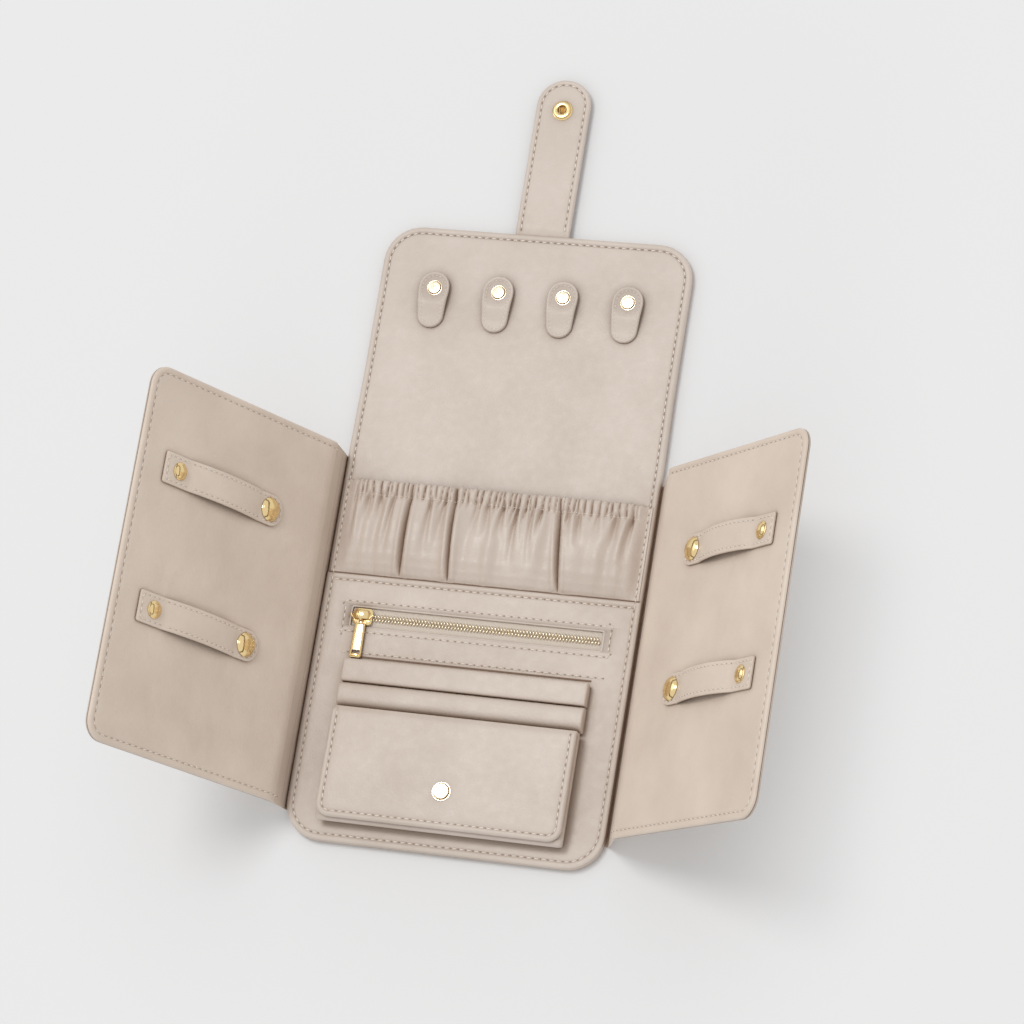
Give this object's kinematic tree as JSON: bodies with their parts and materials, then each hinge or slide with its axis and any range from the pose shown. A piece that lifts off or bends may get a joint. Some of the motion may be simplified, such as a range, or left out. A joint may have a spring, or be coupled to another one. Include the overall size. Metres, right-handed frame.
{
  "type": "travel jewelry pouch",
  "caption": "Open fold-out jewelry pouch in beige faux leather: centre panel with zip, gathered pocket and ring box, two wings with snap straps, flap with necklace tabs and a closing tab.",
  "frame": {"origin": "centre of the centre panel's outer face, which lies on the table", "axes": "+Z out of the centre panel's inner face, +Y up the panel towards the flap, +X to the panel's right"},
  "size_m": [0.3732, 0.4724, 0.1623],
  "materials": {
    "outer_leather": "fine-grained smooth beige faux leather, semi-matte",
    "inner_leather": "smooth beige faux leather lining, semi-matte",
    "stiffener": "matte board",
    "zip_tape": "woven tape",
    "gold_metal": "polished light gold"
  },
  "bodies": {
    "base": {"base_cover": "outer_leather", "base_board": "stiffener", "base_lining": "inner_leather", "zip_tape": "zip_tape", "zip_teeth": "gold_metal", "elastic_pocket": "inner_leather", "ring_pad": "inner_leather", "ring_roll": "inner_leather", "pouch_body": "inner_leather", "pouch_stud": "gold_metal"},
    "zip_slider": {"zip_slider": "gold_metal"},
    "zip_pull": {"zip_pull": "gold_metal"},
    "pouch_flap": {"pouch_flap": "inner_leather", "pouch_cap": "gold_metal"},
    "left_gusset": {"left_gusset": "outer_leather"},
    "left_wing": {"left_wing_cover": "outer_leather", "left_wing_lining": "inner_leather", "left_strap_upper_end": "inner_leather", "left_strap_upper_rivet": "gold_metal", "left_strap_upper_stud": "gold_metal", "left_strap_lower_end": "inner_leather", "left_strap_lower_rivet": "gold_metal", "left_strap_lower_stud": "gold_metal"},
    "left_strap_upper": {"left_strap_upper": "inner_leather", "left_strap_upper_cap": "gold_metal"},
    "left_strap_lower": {"left_strap_lower": "inner_leather", "left_strap_lower_cap": "gold_metal"},
    "right_gusset": {"right_gusset": "outer_leather"},
    "right_wing": {"right_wing_cover": "outer_leather", "right_wing_lining": "inner_leather", "right_strap_upper_end": "inner_leather", "right_strap_upper_rivet": "gold_metal", "right_strap_upper_stud": "gold_metal", "right_strap_lower_end": "inner_leather", "right_strap_lower_rivet": "gold_metal", "right_strap_lower_stud": "gold_metal", "closing_stud": "gold_metal"},
    "right_strap_upper": {"right_strap_upper": "inner_leather", "right_strap_upper_cap": "gold_metal"},
    "right_strap_lower": {"right_strap_lower": "inner_leather", "right_strap_lower_cap": "gold_metal"},
    "spine": {"spine": "outer_leather"},
    "flap": {"flap_cover": "outer_leather", "flap_board": "stiffener", "flap_lining": "inner_leather", "necklace_tab_1_stud": "gold_metal", "necklace_tab_2_stud": "gold_metal", "necklace_tab_3_stud": "gold_metal", "necklace_tab_4_stud": "gold_metal"},
    "necklace_tab_1": {"necklace_tab_1": "inner_leather", "necklace_tab_1_cap": "gold_metal"},
    "necklace_tab_2": {"necklace_tab_2": "inner_leather", "necklace_tab_2_cap": "gold_metal"},
    "necklace_tab_3": {"necklace_tab_3": "inner_leather", "necklace_tab_3_cap": "gold_metal"},
    "necklace_tab_4": {"necklace_tab_4": "inner_leather", "necklace_tab_4_cap": "gold_metal"},
    "closing_tab": {"closing_tab": "inner_leather", "closing_socket": "gold_metal", "closing_cap": "gold_metal"}
  },
  "joints": [
    {"name": "left_gusset_fold", "type": "hinge", "parent": "base", "child": "left_gusset", "pos_m": [-0.096, 0.002, 0.0007], "axis": [0, 1, 0], "range_deg": [-63, 0]},
    {"name": "left_wing_fold", "type": "hinge", "parent": "left_gusset", "child": "left_wing", "pos_m": [-0.096, 0.002, 0.0264], "axis": [0, 1, 0], "range_deg": [0, 117]},
    {"name": "right_gusset_fold", "type": "hinge", "parent": "base", "child": "right_gusset", "pos_m": [0.096, 0.002, 0.0007], "axis": [0, -1, 0], "range_deg": [-48, 17]},
    {"name": "right_wing_fold", "type": "hinge", "parent": "right_gusset", "child": "right_wing", "pos_m": [0.10644, 0.002, 0.03484], "axis": [0, -1, 0], "range_deg": [0, 115]},
    {"name": "spine_fold", "type": "hinge", "parent": "base", "child": "spine", "pos_m": [0, 0.119, 0.0007], "axis": [1, 0, 0], "range_deg": [0, 90]},
    {"name": "flap_fold", "type": "hinge", "parent": "spine", "child": "flap", "pos_m": [0, 0.1646, 0.0007], "axis": [1, 0, 0], "range_deg": [0, 90]},
    {"name": "closing_tab_bend", "type": "hinge", "parent": "flap", "child": "closing_tab", "pos_m": [0, 0.2575, 0.0045], "axis": [-1, 0, 0], "range_deg": [-75, 25]},
    {"name": "necklace_tab_1_lift", "type": "hinge", "parent": "flap", "child": "necklace_tab_1", "pos_m": [-0.0591, 0.193, 0.00685], "axis": [-1, 0, 0], "range_deg": [-130, 0]},
    {"name": "necklace_tab_2_lift", "type": "hinge", "parent": "flap", "child": "necklace_tab_2", "pos_m": [-0.0197, 0.193, 0.00685], "axis": [-1, 0, 0], "range_deg": [-130, 0]},
    {"name": "necklace_tab_3_lift", "type": "hinge", "parent": "flap", "child": "necklace_tab_3", "pos_m": [0.0197, 0.193, 0.00685], "axis": [-1, 0, 0], "range_deg": [-130, 0]},
    {"name": "necklace_tab_4_lift", "type": "hinge", "parent": "flap", "child": "necklace_tab_4", "pos_m": [0.0591, 0.193, 0.00685], "axis": [-1, 0, 0], "range_deg": [-130, 0]},
    {"name": "left_strap_upper_lift", "type": "hinge", "parent": "left_wing", "child": "left_strap_upper", "pos_m": [-0.14351, 0.057, 0.1279], "axis": [0, 1, 0], "range_deg": [-120, 0]},
    {"name": "left_strap_lower_lift", "type": "hinge", "parent": "left_wing", "child": "left_strap_lower", "pos_m": [-0.14351, -0.023, 0.1279], "axis": [0, 1, 0], "range_deg": [-120, 0]},
    {"name": "right_strap_upper_lift", "type": "hinge", "parent": "right_wing", "child": "right_strap_upper", "pos_m": [0.17859, 0.057, 0.12058], "axis": [0, -1, 0], "range_deg": [-120, 0]},
    {"name": "right_strap_lower_lift", "type": "hinge", "parent": "right_wing", "child": "right_strap_lower", "pos_m": [0.17859, -0.023, 0.12058], "axis": [0, -1, 0], "range_deg": [-120, 0]},
    {"name": "pouch_flap_lift", "type": "hinge", "parent": "base", "child": "pouch_flap", "pos_m": [0, -0.0414, 0.02015], "axis": [1, 0, 0], "range_deg": [-140, 0]},
    {"name": "zip_slide", "type": "slide", "parent": "base", "child": "zip_slider", "axis": [-1, 0, 0], "range_m": [-0.13, 0]},
    {"name": "zip_pull_swing", "type": "hinge", "parent": "zip_slider", "child": "zip_pull", "pos_m": [-0.0685, 0.0148, 0.0102], "axis": [1, 0, 0], "range_deg": [-150, 0]}
  ]
}
